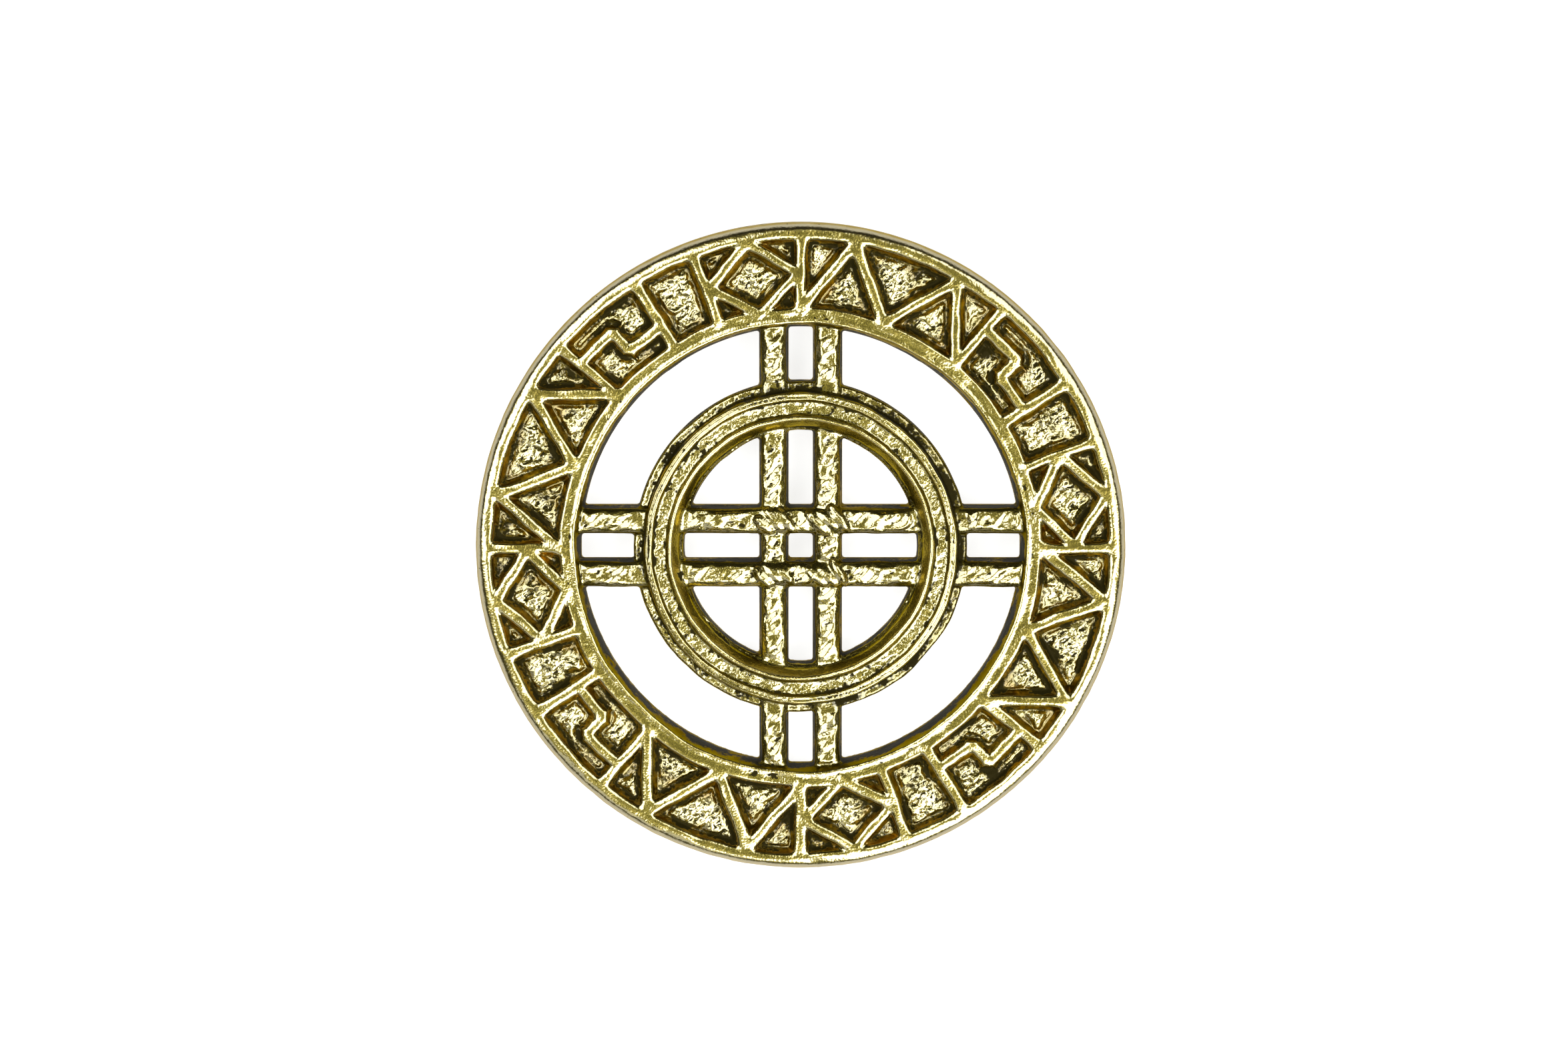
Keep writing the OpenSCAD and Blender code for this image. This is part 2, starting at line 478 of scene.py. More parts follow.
def wallDistance(places, wallFoot=0.1):
    # how far each vertex lies from the nearest ridge or lip, across the band
    flat = places[:, :2]
    r = np.hypot(*flat.T)
    nearest = np.minimum(wheel["cellOuter"] - wallFoot - r, r - wheel["cellInner"] - wallFoot)
    for line in fretLines():
        for a, b in zip(line, line[1:]):
            start, along = np.array(a[:2]), np.array((b - a)[:2])
            share = np.clip((flat - start) @ along / (along @ along), 0, 1)
            gap = np.hypot(*(flat - start - share[:, None] * along).T)
            nearest = np.minimum(nearest, gap - ridge["base"] / 2)
    return nearest


def barDistances(x, y):
    # how far each vertex lies from the middle of a level bar, and of an upright one
    return np.abs(np.abs(y) - bars["middle"]), np.abs(np.abs(x) - bars["middle"])


def findZones(places):
    # which vertices lie on each part that is hammered in its own way
    x, y, z = places.T
    r = np.hypot(x, y)
    zones = {name: inRing(r, z, ring) for name, ring in hammeredRings.items()}
    zones["ledge"] = zones["outerLedge"] | zones["innerLedge"]
    zones["floor"] = between(z, *surface["floorHeights"]) & (wallDistance(places) > surface["floorClear"])
    level, upright = barDistances(x, y)
    crossing = (level < surface["crossing"]) & (upright < surface["crossing"])
    offRing = (r < wheel["ringOpening"] - 0.1) | between(
        r, wheel["ringRadius"] + 0.15, wheel["bandOpening"] - 0.05)
    onTop = (np.minimum(level, upright) < surface["barTop"]) & (z > surface["barFrom"])
    zones["barTop"] = onTop & offRing & ~crossing
    zones["crossing"] = crossing & (z > surface["barFrom"])
    return zones


def addGrain(name):
    grain = bpy.data.textures.new(name, "CLOUDS")
    grain.noise_scale, settings = grains[name]
    for key, value in settings.items():
        setattr(grain, key, value)
    return grain


def addSlant():
    # the crumpling is drawn out into strokes, which slant as this marker does
    slant = bpy.data.objects.new("slant", None)
    bpy.context.scene.collection.objects.link(slant)
    slant.rotation_euler = (0, 0, math.radians(surface["strokes"]))
    slant.scale = surface["strokeSize"]
    bpy.context.view_layer.update()
    return slant


def hammer(piece):
    zones = findZones(readPlaces(piece))
    for name, times in surface["soft"].items():
        soft = blurAlongEdges(piece, zones[name].astype(float), times)
        setWeights(piece, name, soft ** surface["fade"])
    grain = {name: addGrain(name) for name in grains}
    # the band bends with the rest, and a little more
    for zone, strength in (("inside", surface["bend"]), ("band", surface["bandBend"] - surface["bend"])):
        applyModifier(piece, "DISPLACE", texture=grain["bend"], texture_coords="LOCAL", mid_level=0.5,
                      direction="RGB_TO_XYZ", strength=strength, vertex_group=zone)
    applyModifier(piece, "SMOOTH", factor=0.5, iterations=14, vertex_group="crossing")
    applyModifier(piece, "DISPLACE", texture=grain["wobble"], texture_coords="LOCAL", mid_level=0.5,
                  strength=surface["wobble"], vertex_group="front")
    applyModifier(piece, "DISPLACE", direction="Z", mid_level=0,
                  strength=surface["island"], vertex_group="floor")
    slant = addSlant()
    for zone, name, strength in surface["crumpling"]:
        applyModifier(piece, "DISPLACE", texture=grain[name], texture_coords="OBJECT",
                      texture_coords_object=slant, mid_level=surface["crumpleLevel"],
                      direction="Z", strength=strength, vertex_group=zone)
    bpy.data.objects.remove(slant)


def thinOut(piece, triangles):
    applyModifier(piece, "DECIMATE", ratio=min(1, triangles / (2 * len(piece.data.polygons))))
    selectOnly(piece)
    bpy.ops.object.shade_smooth()


def buildCasting():
    parts = [turnOutline("band", bandOutline), turnOutline("ring", ringOutline),
             buildFret(), buildBars(), buildLashings()]
    casting = joinPieces("casting", parts)
    print("casting: drawn,", len(casting.data.polygons), "faces")
    applyModifier(casting, "REMESH", mode="VOXEL", voxel_size=surface["voxel"])
    applyModifier(casting, "SMOOTH", factor=0.5, iterations=2)
    print("casting: fused,", len(casting.data.polygons), "faces")
    keepPlain(casting)
    hammer(casting)
    applyModifier(casting, "SMOOTH", factor=0.3, iterations=1)
    thinOut(casting, surface["faces"])
    casting.vertex_groups.clear()
    print("casting: hammered,", len(casting.data.polygons), "faces")
    return casting


# patina, together with some painted shade and painted reflection, set down as attributes that the metal
# reads: how strong each coat is in each place, and in pairs where it sets in and where it is full, or
# where it fades and is gone
wash = {                     # black, in the hollows
    "walls": 0.58,           # along the feet of the ridges and lips
    "wallFoot": (-0.2, -0.04),
    "width": 0.5,            # how far it spreads from them
    "uneven": 0.7,           # by how much of itself that width differs
    "steep": (0.5, 0.9),
    "openings": 0.8,         # on the walls of the openings
    "openingHeights": (1.3, 2.1),
    "rim": 0.3,
    "rimHeights": (0.6, 1.4),
    "joints": 0.7,           # where a bar meets the ring or the band
    "jointDepths": (0.06, 0.2),
    "creases": 0.64,
    "creaseDepths": (0.004, 0.018),
    "fromBack": (0.1, 0.5),
    "acrossRing": ((-9, 3, 9), (0.62, 0.8, 1.05)),   # darker towards the ring's right
    # on the ring, by radius
    "ring": [
        (7.0, 0.3), (7.2, 0.25), (7.36, 0.36), (7.45, 0.66), (7.52, 0.2), (7.75, 0.0), (8.1, 0.1),
        (8.24, 0.56), (8.38, 0.12), (8.92, 0.12), (9.05, 0.55), (9.14, 0.1), (9.24, 0.1),
        (9.31, 0.5), (9.38, 0.1), (9.5, 0.1), (9.62, 0.8), (9.8, 0.62), (10.0, 0.55),
        (10.2, 0.3), (10.4, 0.1),
    ],
}

tarnishAndShade = {                  # brown: tarnish, and painted shade on the left of the outer bead
    "walls": 0.8,            # along the feet of the ridges and lips
    "wallFoot": (-0.32, -0.12),
    "wallReach": (0.05, 0.8),
    "steep": (0.35, 0.8),
    "openings": 0.9,
    "openingHeights": (1.4, 2.05),
    "rim": 0.2,
    "acrossLedge": ((-9, 9), (0.15, 0.6)),   # darker towards the ledge's right
    "bead": 0.6,             # painted shade on the outer of the two beads, darker towards its left
    "beadLeft": (0, 5),
    "bars": 0.16,
    "hollows": 0.5,
    "hollowDepths": (0.03, 0.12),
    "fromBack": (0, 0.3),
}

warmReflection = {                    # painted reflection: a warm glow of gold mirrored in gold, on the walls of the cells
    "wallFoot": (-0.34, -0.2),
    "wallReach": (-0.08, 0.3),
    "heights": (1.5, 1.9),
}

foil = {                     # crinkled like foil, which gives the wash a hold
    "floors": (0.05, 0.3),   # from the walls
    "bars": 0.25,
    "steep": (0.6, 0.9),
    "openings": 0.8,
}

rub = {                      # bright, on what stands up
    "heights": (0.002, 0.016),
    "sheltered": 0.35,       # in the cells and on the bars
}

lacquer = {                  # clear, but worn off where the skin leans
    "wear": (0.1, 0.42),
    "lipWear": (0.4, 0.8),   # less so on the outer lip
    "tarnished": 0.9,        # how much of it is lost where the gold is brown
}

paintedRings = {
    "slope": (7.1, 8.0, 1.1, most),
    "channel": (8.3, 9.0, 1.7, most),
    "bead": (9.3, 9.64, 1.6, most),
    "ledge": (9.62, 10.25, 0.8, most),
}


def readSkin(piece):
    # what the paint goes by, for each vertex; radii and walls as they were before the bending
    places, normals, plain = readPlaces(piece), readNormals(piece), readPlain(piece)
    x, y = plain.T[:2]
    z = places[:, 2]
    r = np.hypot(x, y)
    near, far = (np.stack([blurAlongEdges(piece, places[:, i].astype(float), times)
                           for i in range(3)], 1) for times in (3, 30))
    walls = wallDistance(plain)
    # the wash lies wider in some places than in others
    uneven = 1 + wash["uneven"] * np.sin(1.7 * x + 0.9 * y) * np.sin(1.3 * y - 0.8 * x + 1)
    skin = {
        "x": x, "z": z, "r": r,
        "lean": 1 - np.clip(normals[:, 2], 0, 1),
        "crease": ((near - places) * normals).sum(1),
        "hollow": ((far - places) * normals).sum(1),
        "walls": np.where(walls > 0, walls * uneven, walls),
        "nearBar": np.minimum(*barDistances(x, y)),
        "inCells": between(r, wheel["cellInner"] - 0.1, wheel["cellOuter"] + 0.1) & (z < 2.05),
    }
    for name, ring in paintedRings.items():
        skin[name] = inRing(r, z, ring)
    return skin


def layWash(skin):
    z, r, walls = skin["z"], skin["r"], skin["walls"]
    moat = wash["walls"] * (1 - ramp(walls, 0.0, wash["width"])) * ramp(walls, *wash["wallFoot"])
    moat = np.where(skin["inCells"], moat, 0)
    ring = np.interp(r, *np.array(wash["ring"]).T) * (r > wheel["ringOpening"] - 0.3) * (z > 0.9)
    ring *= np.interp(skin["x"], *wash["acrossRing"])
    steep = ramp(skin["lean"], *wash["steep"])
    opening = wash["openings"] * steep * (1 - ramp(z, *wash["openingHeights"])) * (r < 14)
    opening *= (r < 7.4) | (r > 9.5)
    rim = wash["rim"] * steep * (1 - ramp(z, *wash["rimHeights"])) * (r > 19)
    joint = wash["joints"] * ramp(skin["hollow"], *wash["jointDepths"]) * ~skin["inCells"] * (z > 0.9)
    joint *= (r < 7.1) | (r > 10.2)
    crease = wash["creases"] * ramp(skin["crease"], *wash["creaseDepths"])
    grime = np.maximum.reduce([moat, ring, opening + rim, joint, crease])
    return grime * ramp(z, *wash["fromBack"])


def layTarnishAndShade(piece, skin):
    x, z, r, walls = (skin[name] for name in ("x", "z", "r", "walls"))
    onBar = (skin["nearBar"] < 0.9) & ((r < 7.1) | between(r, 10.3, 13.4)) & (z > 1.0)
    foot, steep = ramp(walls, *tarnishAndShade["wallFoot"]), ramp(skin["lean"], *tarnishAndShade["steep"])
    coats = [
        tarnishAndShade["walls"] * skin["inCells"] * (1 - ramp(walls, *tarnishAndShade["wallReach"])) * foot,
        tarnishAndShade["openings"] * steep * (1 - ramp(z, *tarnishAndShade["openingHeights"])) * (r < 14)
        * ~skin["slope"],
        tarnishAndShade["rim"] * (r > 19.55),
        np.interp(x, *tarnishAndShade["acrossLedge"]) * skin["ledge"],
        # painted shade: the outer bead is darkened on its left
        tarnishAndShade["bead"] * skin["bead"] * ramp(-x, *tarnishAndShade["beadLeft"]),
        tarnishAndShade["bars"] * onBar,
        tarnishAndShade["hollows"] * ramp(skin["hollow"], *tarnishAndShade["hollowDepths"])
        * ~skin["inCells"] * ~skin["slope"]]
    return blurAlongEdges(piece, np.maximum.reduce(coats), 2)


# painted reflection: the upper walls of the cells glow warm, as gold mirrored in gold
def layWarmReflection(piece, skin):
    walls = skin["walls"]
    reflectedGlow = skin["inCells"] * ramp(walls, *warmReflection["wallFoot"]) * (1 - ramp(walls, *warmReflection["wallReach"]))
    return blurAlongEdges(piece, reflectedGlow * ramp(skin["z"], *warmReflection["heights"]), 1)


def layFoil(skin):
    return np.maximum.reduce([
        skin["inCells"] * ramp(skin["walls"], *foil["floors"]),
        skin["channel"].astype(float),
        foil["bars"] * ((skin["nearBar"] < 0.7) & (skin["z"] > 1.0)),
        foil["openings"] * ramp(skin["lean"], *foil["steep"]) * (skin["r"] < 14) * ~skin["slope"]])


def rubEdgesAndBrightenSlope(skin):
    sheltered = skin["inCells"] | (skin["nearBar"] < 0.9)
    rubbed = ramp(-skin["crease"], *rub["heights"]) * np.where(sheltered, rub["sheltered"], 1)
    # painted reflection: the ring's inner slope is made as bright as a rubbed edge, standing in for the
    # bright table it mirrors
    return np.maximum(rubbed, skin["slope"] & (skin["r"] > 7.5))


def layLacquer(skin, brown):
    kept, keptOnLip = (1 - ramp(skin["lean"], *lacquer[name]) for name in ("wear", "lipWear"))
    return (1 - lacquer["tarnished"] * brown) * np.where(skin["r"] > 19.2, keptOnLip, kept)


def paintAttribute(piece, name, values):
    layer = piece.data.attributes.new(name, "FLOAT", "POINT")
    layer.data.foreach_set("value", np.clip(values, 0, 1).astype(np.float32))


def paintCasting(piece):
    skin = readSkin(piece)
    z, r = skin["z"], skin["r"]
    brown = layTarnishAndShade(piece, skin)
    paintAttribute(piece, "grime", layWash(skin))
    # tarnish, with painted shade on the left of the outer bead
    paintAttribute(piece, "tarnishAndShade", brown * ramp(z, *tarnishAndShade["fromBack"]))
    # painted reflection: the ring's inner slope is dulled only a quarter as much; the outer rim is dulled
    # a little less
    paintAttribute(piece, "lean", skin["lean"] * np.where(skin["slope"], 0.25, np.where(r > 19.4, 0.6, 1)))
    # rubbed edges, and the ring's inner slope as a painted reflection
    paintAttribute(piece, "edge", rubEdgesAndBrightenSlope(skin))
    paintAttribute(piece, "foil", layFoil(skin))
    paintAttribute(piece, "rim", np.maximum(ramp(r, 19.4, 19.75), 1 - ramp(z, 0.1, 0.6)))
    # painted reflection of gold on the cells' walls
    paintAttribute(piece, "warmReflection", layWarmReflection(piece, skin))
    paintAttribute(piece, "lacquer", layLacquer(skin, brown))
    piece.data.attributes.remove(piece.data.attributes["plain"])


# the hidden pin
pin = {
    "y": 15.3,               # above the wheel's middle
    "gap": 0.03,             # of solder
    "plate": (19.6, 2.2, 0.5),
    "plateEdge": 0.12,       # how far its corners are eased
    "span": 17.2,            # from hinge to catch
    "stem": 0.8,             # diameter
    "stemDrop": 1.73,        # from the wheel's back to the stem's middle
    "stemPast": 1.65,        # how far its point is past the catch's middle
    # distance from its tip and share of its thickness, along the drawn point
    "point": [(2.6, 1), (1.9, 0.9), (0.9, 0.62), (0.2, 0.3)],
    "block": (1.2, 2.1),     # the hinge's block, its width along the stem and across
    "blockEdge": 0.08,
    "barrel": 0.85,          # radius
    "barrelEdge": 0.12,
    # the groove by a knuckle: its depth at each distance from the barrel's middle
    "groove": [(0, 0.24), (0.1, 0.3), (0.1, 0.34), (0, 0.4)],
    "catch": 0.93,           # outer radius of the hook
    "catchWidth": 1.5,
    "catchPlay": 0.15,       # between the stem and the hook
    "catchTurn": 282,        # degrees of the hook's bend
    "catchStart": 45,        # degrees from the top
    "neck": (1.46, 1.0),     # the hook's neck, its width along the stem and across
    "neckRise": 0.7,         # how far above the stem's middle it ends
    "neckEdge": 0.06,
    "voxel": 0.045,          # grain of the fused metal
    "faces": 36000,          # triangles
}


def addBlock(size, where, rounding):
    piece = addBox(size, where)
    bpy.ops.object.mode_set(mode="EDIT")
    bpy.ops.mesh.select_all(action="SELECT")
    bpy.ops.mesh.bevel(offset=rounding, segments=3, affect="EDGES")
    bpy.ops.object.mode_set(mode="OBJECT")
    return piece


def buildStem():
    # a wire turned from its outline, with a drawn point, and laid along +X
    half, long = pin["stem"] / 2, pin["span"] + pin["stemPast"]
    outline = [(0.0, 0.0), (half, 0.0)] + [(share * half, long - back) for back, share in pin["point"]]
    stem = turnOutline("stem", outline + [(0.0, long)], steps=32)
    stem.rotation_euler = (0, math.pi / 2, 0)
    stem.location = (-pin["span"] / 2, pin["y"], -pin["stemDrop"])
    return stem


def buildBarrel():
    # the hinge's barrel across the stem, with dished ends and a groove by each knuckle
    r, half, edge = pin["barrel"], pin["plate"][1] / 2, pin["barrelEdge"]
    side = [(r - deep, along) for deep, along in pin["groove"]]
    side += [(r, half - edge), (r - edge, half), (0.4, half - 0.06), (0.32, half), (0.0, half)]
    otherSide = [(outward, -along) for outward, along in reversed(side)]
    barrel = turnOutline("barrel", otherSide + side, steps=48)
    barrel.rotation_euler = (math.pi / 2, 0, 0)
    barrel.location = (-pin["span"] / 2, pin["y"], -pin["stemDrop"])
    return barrel


def buildCatch():
    # a strip rolled into a hook round the stem, open towards the wheel's middle
    inner, outer = pin["stem"] / 2 + pin["catchPlay"], pin["catch"]
    hook = addBox((pin["catchWidth"], 0.01, outer - inner), (0, 0, (outer + inner) / 2))
    pickSide(hook, (0, 1, 0))
    bpy.ops.mesh.spin(steps=28, angle=math.radians(pin["catchTurn"]), center=(0, 0, 0), axis=(-1, 0, 0))
    mendSpin()
    hook.rotation_euler = (math.radians(pin["catchStart"]), 0, 0)
    hook.location = (pin["span"] / 2, pin["y"], -pin["stemDrop"])
    return hook


def buildPin():
    thick, top = pin["plate"][2], -pin["gap"]
    under = top - thick / 2      # the plate's middle, from which block and neck hang
    plate = addBlock(pin["plate"], (0, pin["y"], under), pin["plateEdge"])
    drop = pin["stemDrop"] - pin["gap"] - thick / 2
    block = addBlock((*pin["block"], drop),
                     (-pin["span"] / 2, pin["y"], under - drop / 2), pin["blockEdge"])
    drop -= pin["neckRise"]
    neck = addBlock((*pin["neck"], drop),
                    (pin["span"] / 2, pin["y"], under - drop / 2), pin["neckEdge"])
    piece = joinPieces("pin", [plate, block, buildBarrel(), buildStem(), neck, buildCatch()])
    # fused as by solder, with softened corners
    applyModifier(piece, "REMESH", mode="VOXEL", voxel_size=pin["voxel"])
    applyModifier(piece, "SMOOTH", factor=0.5, iterations=4)
    thinOut(piece, pin["faces"])
    print("pin: built,", len(piece.data.polygons), "faces")
    return piece


# how the brooch lies: the record's mount gives the stem's place and the back's lean
def layDown(piece):
    mount = frame["record"]["mounts"][0]
    lean = math.atan2(mount["axis"][1], -mount["axis"][2])
    mm = (cadHigh.x - cadLow.x) / wheel["diameter"]
    stemMiddle = Vector((0, pin["y"], -pin["stemDrop"])) * mm
    piece.rotation_euler = (lean, 0, 0)
    piece.scale = (mm, mm, mm)
    piece.location = Vector(mount["pos_m"]) - Matrix.Rotation(lean, 3, "X") @ stemMiddle
    selectOnly(piece)
    applyPlace()


# gilding, with the dark wash left in its hollows
gilt = {
    # worn bright gold, also laid on the ring's slope as a painted reflection
    "rubbed": (0.36, 0.275, 0.042),
    "bright": (0.23, 0.18, 0.02),
    "rim": (0.3, 0.245, 0.105),
    # painted reflection: the warm colour of gold mirrored in the cells' walls
    "warmReflection": (0.34, 0.19, 0.018),
    "olive": (0.165, 0.125, 0.014),
    "brown": (0.05, 0.036, 0.005),
    "wash": (0.013, 0.010, 0.002),
    "edgeTint": (0.74, 0.6, 0.34),
    "brightRoughness": 0.26,
    "oliveRoughness": 0.36,
    "washRoughness": 0.62,
    "washGloss": 0.06,
    "lacquer": 2.2,          # how strongly the clear lacquer mirrors, as a refractive index
    "lacquerRoughness": 0.13,
    "rimShare": 0.8,         # how much of the rim's colour, and of the painted reflection on the cells' walls, is laid on
    "warmReflectionShare": 0.85,
    # spots to a millimetre and detail of each pattern
    "patterns": {"broad": (0.25, 3.0), "patchy": (0.6, 2.0), "mottle": (1.6, 3.0),
                 "grain": (5.0, 1.0), "speckle": (8.0, 0.0)},
    "fray": {"mottle": 0.5, "grain": 0.6, "patchy": 1.5},    # of the wash's border
    "washEdge": (0.42, 0.66),    # how much wash begins to show, and covers the gold
    "pitEdge": (0.74, 0.8),      # how deep a pit begins to hold wash, and is full of it
    "pitHold": 0.06,             # how much more it holds in crinkled foil
    "dulling": {"mottle": 0.7, "broad": 0.5},
    "leanEdge": (0.12, 0.75),    # how steep a side begins to be dull, and is fully so
    "edgeShine": 0.6,            # how much of the dulling is rubbed off an edge, and taken off the ring's slope as a painted reflection
    # relief: depth in metres, and strength
    "grain": 0.000036,
    "crinkle": (0.7, 0.1),       # strength of the grain that foil adds, and elsewhere
    "mottle": (0.00006, 0.2),
    "speckle": (0.000018, 0.5),
}

wire = {                     # the pin's plain gilt, drawn along its length
    "bright": (0.5, 0.4, 0.15),
    "roughness": (0.2, 0.18),    # what the scratches add, and the least
    "scratches": 9,              # to a millimetre across
    "stretch": (0.06, 1, 1),
    "patches": (0.9, 3.0, 0.6),  # of tarnish: to a millimetre, detail, raggedness
    "oliveEdge": (0.3, 0.55),
    "brownEdge": (0.56, 0.68),
    "relief": (0.00002, 0.5),    # depth in metres, and strength
}


def addNode(tree, kind, settings, inputs):
    node = tree.nodes.new("ShaderNode" + kind)
    for key, value in settings.items():
        setattr(node, key, value)
    for key, value in inputs.items():
        if isinstance(value, bpy.types.NodeSocket):
            tree.links.new(value, node.inputs[key])
        else:
            node.inputs[key].default_value = value
    return node


def mathNode(tree, operation, *values):
    return addNode(tree, "Math", {"operation": operation}, dict(enumerate(values))).outputs[0]


def noiseNode(tree, where, perMm, detail=2.0, rough=0.5):
    return addNode(tree, "TexNoise", {}, {"Vector": where, "Scale": perMm * 1000, "Detail": detail,
                                          "Roughness": rough}).outputs["Fac"]


def mixColours(tree, share, a, b):
    node = addNode(tree, "Mix", {"data_type": "RGBA"}, {"Factor": share})
    for socket, value in zip(node.inputs[6:8], (a, b)):
        if isinstance(value, bpy.types.NodeSocket):
            tree.links.new(value, socket)
        else:
            socket.default_value = (*value, 1)
    return node.outputs[2]


def stepNode(tree, value, low, high):
    return addNode(tree, "MapRange", {"interpolation_type": "SMOOTHSTEP"},
                   {"Value": value, "From Min": low, "From Max": high}).outputs[0]


def rangeNode(tree, share, low, high):
    return addNode(tree, "MapRange", {}, {"Value": share, "To Min": low, "To Max": high}).outputs[0]


def paintedNode(tree, name):
    return addNode(tree, "Attribute", {"attribute_name": name}, {}).outputs["Fac"]


def reliefNode(tree, height, distance, strength, under=None):
    inputs = {"Height": height, "Distance": distance, "Strength": strength}
    if under:
        inputs["Normal"] = under
    return addNode(tree, "Bump", {}, inputs).outputs[0]


def newMaterial(name):
    material = bpy.data.materials.new(name)
    material.use_nodes = True
    tree = material.node_tree
    where = addNode(tree, "TexCoord", {}, {}).outputs["Object"]
    return material, tree, tree.nodes["Principled BSDF"], where


def swingNode(tree, pattern, amount):
    # the pattern, swinging by this amount about nothing
    return mathNode(tree, "MULTIPLY_ADD", pattern, amount, -amount / 2)


def washNodes(tree, pattern, painted):
    # the wash keeps to the hollows, with a ragged border, and to the deepest pits
    mottle, grain, patchy = (swingNode(tree, pattern[name], amount)
                             for name, amount in gilt["fray"].items())
    ragged = mathNode(tree, "ADD", mathNode(tree, "ADD", mottle, grain), patchy)
    ragged = mathNode(tree, "MULTIPLY", ragged, stepNode(tree, painted["grime"], 0.0, 0.3))
    washed = stepNode(tree, mathNode(tree, "ADD", painted["grime"], ragged), *gilt["washEdge"])
    held = mathNode(tree, "MULTIPLY", painted["foil"], gilt["pitHold"])
    pits = stepNode(tree, mathNode(tree, "ADD", pattern["grain"], held), *gilt["pitEdge"])
    return mathNode(tree, "MAXIMUM", washed, pits)


def dullNodes(tree, pattern, painted):
    # leaning sides and duller patches are olive; rubbed edges, and the ring's inner slope as a painted
    # reflection, bright
    mottle, broad = (swingNode(tree, pattern[name], amount)
                     for name, amount in gilt["dulling"].items())
    dull = mathNode(tree, "ADD", mottle, stepNode(tree, painted["lean"], *gilt["leanEdge"]))
    dull = mathNode(tree, "ADD", dull, broad)
    shine = mathNode(tree, "MULTIPLY", painted["edge"], gilt["edgeShine"])
    dull = mathNode(tree, "SUBTRACT", dull, shine)
    return mathNode(tree, "MINIMUM", mathNode(tree, "MAXIMUM", dull, 0.0), 1.0)


def goldNodes(tree, pattern, painted, dull):
    # rubbed edges, and the ring's slope as a painted reflection, take the rubbed colour
    gold = mixColours(tree, painted["edge"], gilt["bright"], gilt["rubbed"])
    gold = mixColours(tree, dull, gold, gilt["olive"])
    gold = mixColours(tree, mathNode(tree, "MULTIPLY", painted["rim"], gilt["rimShare"]),
                      gold, gilt["rim"])
    brown = mathNode(tree, "MULTIPLY", painted["tarnishAndShade"],
                     mathNode(tree, "MULTIPLY_ADD", pattern["mottle"], 1.0, 0.5))
    gold = mixColours(tree, mathNode(tree, "MINIMUM", brown, 1.0), gold, gilt["brown"])
    # last, the painted reflection of gold on the cells' walls
    return mixColours(tree, mathNode(tree, "MULTIPLY", painted["warmReflection"], gilt["warmReflectionShare"]),
                      gold, gilt["warmReflection"])


def giltMaterial():
    material, tree, shader, where = newMaterial("antiqueGilt")
    pattern = {name: noiseNode(tree, where, *size) for name, size in gilt["patterns"].items()}
    painted = {name: paintedNode(tree, name)
               for name in ("grime", "tarnishAndShade", "lean", "edge", "foil", "rim", "warmReflection", "lacquer")}
    washed = washNodes(tree, pattern, painted)
    dull = dullNodes(tree, pattern, painted)
    gold = goldNodes(tree, pattern, painted, dull)
    tree.links.new(mixColours(tree, washed, gold, gilt["wash"]), shader.inputs["Base Color"])
    rough = rangeNode(tree, dull, gilt["brightRoughness"], gilt["oliveRoughness"])
    rough = rangeNode(tree, washed, rough, gilt["washRoughness"])
    tree.links.new(rough, shader.inputs["Roughness"])
    clean = mathNode(tree, "SUBTRACT", 1.0, washed)
    tree.links.new(clean, shader.inputs["Metallic"])
    tree.links.new(mathNode(tree, "MULTIPLY", clean, painted["lacquer"]), shader.inputs["Coat Weight"])
    shader.inputs["Coat IOR"].default_value = gilt["lacquer"]
    shader.inputs["Coat Roughness"].default_value = gilt["lacquerRoughness"]
    shader.inputs["Specular IOR Level"].default_value = gilt["washGloss"]
    shader.inputs["Specular Tint"].default_value = (*gilt["edgeTint"], 1)
    crinkle = mathNode(tree, "MULTIPLY_ADD", painted["foil"], *gilt["crinkle"])
    relief = reliefNode(tree, pattern["grain"], gilt["grain"], crinkle)
    relief = reliefNode(tree, pattern["mottle"], *gilt["mottle"], relief)
    relief = reliefNode(tree, pattern["speckle"], *gilt["speckle"], relief)
    tree.links.new(relief, shader.inputs["Normal"])
    tree.links.new(relief, shader.inputs["Coat Normal"])
    return material


def pinMaterial():
    # plain gilt wire and plate, with fine drawing scratches and a little tarnish
    material, tree, shader, where = newMaterial("pinGilt")
    drawn = addNode(tree, "Mapping", {}, {"Vector": where, "Scale": wire["stretch"]}).outputs[0]
    scratches = noiseNode(tree, drawn, wire["scratches"])
    patches = noiseNode(tree, where, *wire["patches"])
    gold = mixColours(tree, stepNode(tree, patches, *wire["oliveEdge"]), wire["bright"], gilt["olive"])
    gold = mixColours(tree, stepNode(tree, patches, *wire["brownEdge"]), gold, gilt["brown"])
    tree.links.new(gold, shader.inputs["Base Color"])
    shader.inputs["Metallic"].default_value = 1
    rough = mathNode(tree, "MULTIPLY_ADD", scratches, *wire["roughness"])
    tree.links.new(rough, shader.inputs["Roughness"])
    tree.links.new(reliefNode(tree, scratches, *wire["relief"]), shader.inputs["Normal"])
    return material


def finishPiece(piece, material, node):
    layDown(piece)
    piece.data.materials.clear()
    piece.data.materials.append(material)
    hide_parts(node)
    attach(piece, "root")


casting = buildCasting()
paintCasting(casting)
finishPiece(casting, giltMaterial(), "cast_wheel")
print("casting: painted and gilt")
finishPiece(buildPin(), pinMaterial(), "brooch_pin")


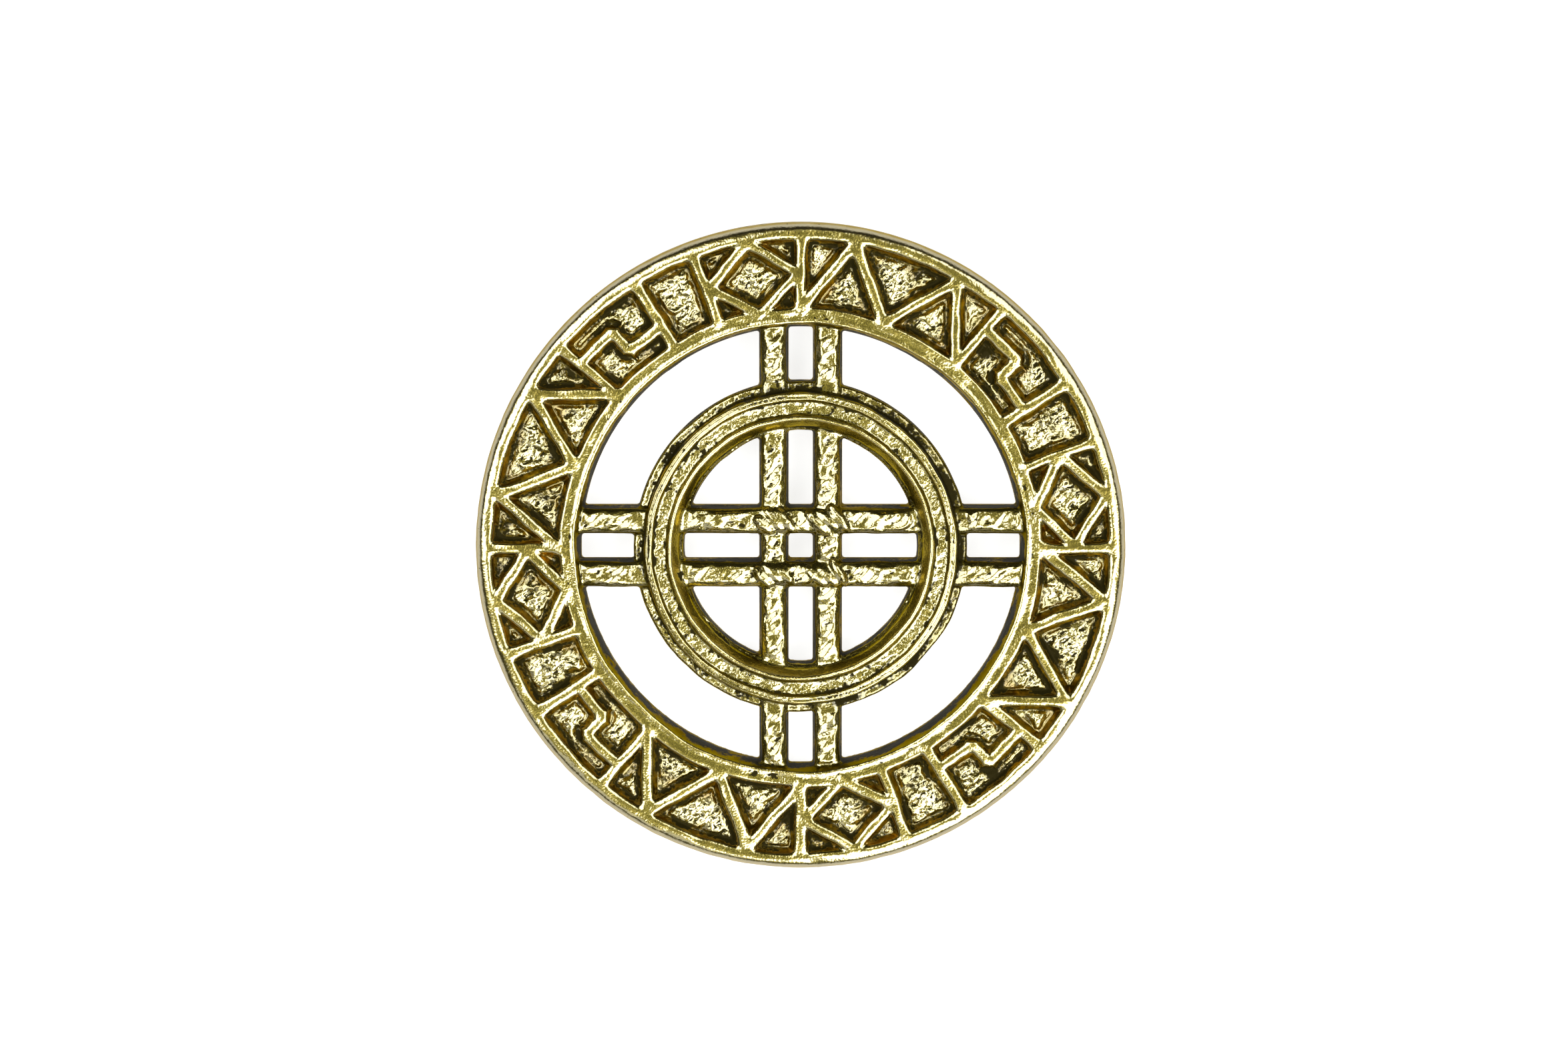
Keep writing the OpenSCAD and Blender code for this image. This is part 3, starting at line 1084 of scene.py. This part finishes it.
# the table, the light and the camera, in metres
studio = {
    "floorSize": 3,
    "floorGrey": 0.3,
    "floorRoughness": 0.9,
    "floorGlow": 0.8,
    "skyAbove": 0.01,
    "skyHorizon": 0.8,
    "skyEdge": (0.1, 0.26),  # heights in the sky between which it darkens
    "lightTint": (0.97, 1.0, 1.0),
    # name, degrees from the upright to the right and to the front, distance, width, height, brightness
    "boxes": [("keyBox", 25, 33, 0.7, 0.58, 0.52, 7.5),
              ("fillBox", -27, -8, 0.7, 0.52, 0.48, 6.5),
              ("leftBox", -28, 44, 0.7, 0.36, 0.3, 1.4),
              ("backBox", 33, -14, 0.7, 0.5, 0.4, 5.0)],
    "lens": 100.0,
    "sensor": 36,
    "camera": 0.268,         # from the brooch
    "cameraLean": 1.69,      # degrees from the upright
    "aim": (0, 0, 0.0025),   # the brooch's middle
    "pixel": 0.0967 / 2350,  # to a pixel of the photograph
    "offset": (25, 35),      # pixels of the brooch right of and below the frame's middle
}


def layFloor():
    clearSelection()
    bpy.ops.mesh.primitive_plane_add(size=studio["floorSize"])
    floor = bpy.context.object
    floor.name = "floor"
    material = bpy.data.materials.new("paleTable")
    material.use_nodes = True
    shader = material.node_tree.nodes["Principled BSDF"]
    shader.inputs["Base Color"].default_value = (*[studio["floorGrey"]] * 3, 1)
    shader.inputs["Roughness"].default_value = studio["floorRoughness"]
    shader.inputs["Emission Color"].default_value = (1, 1, 1, 1)
    shader.inputs["Emission Strength"].default_value = studio["floorGlow"]
    floor.data.materials.append(material)


def hangBox(name, right, front, distance, width, height, brightness):
    light = bpy.data.lights.new(name, "AREA")
    light.shape = "RECTANGLE"
    light.size, light.size_y = width, height
    light.energy = brightness * math.pi * width * height
    light.color = studio["lightTint"]
    box = bpy.data.objects.new(name, light)
    where = Vector((math.tan(math.radians(right)), -math.tan(math.radians(front)), 1))
    box.location = where.normalized() * distance
    box.rotation_euler = where.to_track_quat("Z", "Y").to_euler()
    bpy.context.scene.collection.objects.link(box)


def lightSky():
    world = bpy.data.worlds.new("studio")
    bpy.context.scene.world = world
    world.use_nodes = True
    tree = world.node_tree
    where = addNode(tree, "TexCoord", {}, {}).outputs["Generated"]
    height = addNode(tree, "SeparateXYZ", {}, {0: where}).outputs[2]
    low, high = studio["skyEdge"]
    sky = addNode(tree, "MapRange", {"interpolation_type": "SMOOTHSTEP"},
                  {"Value": height, "From Min": low, "From Max": high,
                   "To Min": studio["skyHorizon"], "To Max": studio["skyAbove"]})
    background = tree.nodes["Background"]
    background.inputs["Color"].default_value = (1, 1, 1, 1)
    tree.links.new(sky.outputs[0], background.inputs["Strength"])


def setCamera():
    camera = bpy.data.objects.new("camera", bpy.data.cameras.new("camera"))
    bpy.context.scene.collection.objects.link(camera)
    camera.data.lens, camera.data.sensor_width = studio["lens"], studio["sensor"]
    camera.rotation_euler = (math.radians(-studio["cameraLean"]), 0, 0)
    right, up, back = camera.rotation_euler.to_matrix().transposed()
    across, down = (share * studio["pixel"] for share in studio["offset"])
    camera.location = Vector(studio["aim"]) + back * studio["camera"] - right * across + up * down
    bpy.context.scene.camera = camera


layFloor()
for box in studio["boxes"]:
    hangBox(*box)
lightSky()
setCamera()
bpy.context.scene.view_settings.view_transform = "Standard"
print("studio: floor, lights and camera set")
